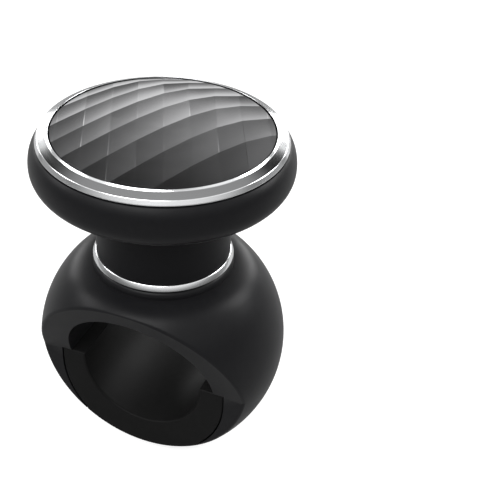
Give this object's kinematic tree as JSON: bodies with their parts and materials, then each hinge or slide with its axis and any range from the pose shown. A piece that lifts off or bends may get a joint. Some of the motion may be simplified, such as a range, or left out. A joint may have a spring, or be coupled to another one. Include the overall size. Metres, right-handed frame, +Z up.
{
  "type": "steering wheel spinner knob",
  "caption": "Steering wheel spinner knob: mushroom head on a ball bearing, on a round housing whose saddle and slide-in jaw clamp round a wheel's rim.",
  "frame": {"origin": "middle of the flat under the jaw, on which the part rests, below the knob's axis", "axes": "+Z up along the knob's axis, from the clamp to the disc; the wheel rim's bore runs along Y, with the front at -Y"},
  "size_m": [0.0506, 0.05, 0.0726],
  "materials": {
    "housing": "satin black, moulded",
    "jaw": "matte black",
    "shell": "satin black, moulded",
    "neck": "satin black",
    "trim": "bright, slightly brushed on the sloped band",
    "disc": "smoked, faceted",
    "foam": "foam tape",
    "carrier": "plain moulded",
    "rubber": "plain",
    "steel": "zinc plated",
    "race": "ground and polished",
    "black_steel": "blackened",
    "brass": "plain turned"
  },
  "bodies": {
    "base": {"base_housing": "housing", "crown_pad": "rubber", "spindle": "steel", "bearing_spacer": "steel", "bearing_inner_race": "race", "lock_washer": "steel", "spindle_nut": "steel", "thread_insert_left": "brass", "thread_insert_right": "brass"},
    "knob": {"knob_shell": "shell", "neck_sleeve": "neck", "neck_trim_ring": "trim", "knob_trim_ring": "trim", "faceted_disc": "disc", "disc_pad": "foam", "disc_carrier": "carrier", "bearing_outer_race": "race", "bearing_retaining_ring": "black_steel", "sleeve_screw_1": "steel", "sleeve_screw_2": "steel", "sleeve_screw_3": "steel"},
    "ball_set": {"ball_cage": "brass", "bearing_ball_1": "race", "bearing_ball_2": "race", "bearing_ball_3": "race", "bearing_ball_4": "race", "bearing_ball_5": "race", "bearing_ball_6": "race", "bearing_ball_7": "race"},
    "jaw": {"clamp_jaw": "jaw"},
    "left_screw": {"set_screw_left": "black_steel"},
    "right_screw": {"set_screw_right": "black_steel"}
  },
  "joints": [
    {"name": "knob_spin", "type": "hinge", "parent": "base", "child": "knob", "pos_m": [0, 0, 0.0519], "axis": [0, 0, 1], "continuous": true},
    {"name": "ball_set_spin", "type": "hinge", "parent": "base", "child": "ball_set", "pos_m": [0, 0, 0.0519], "axis": [0, 0, 1], "continuous": true},
    {"name": "jaw_slide", "type": "slide", "parent": "base", "child": "jaw", "axis": [0, 1, 0], "range_m": [0, 0.024]},
    {"name": "set_screw_left_turn", "type": "hinge", "parent": "base", "child": "left_screw", "pos_m": [-0.01672, 0, 0.01126], "axis": [-0.9135, 0, -0.4067], "range_deg": [0, 720]},
    {"name": "set_screw_right_turn", "type": "hinge", "parent": "base", "child": "right_screw", "pos_m": [0.01672, 0, 0.01126], "axis": [0.9135, 0, -0.4067], "range_deg": [0, 720]}
  ],
  "couplings": [
    {"joint": "ball_set_spin", "follows": "knob_spin", "ratio": 0.63233}
  ]
}
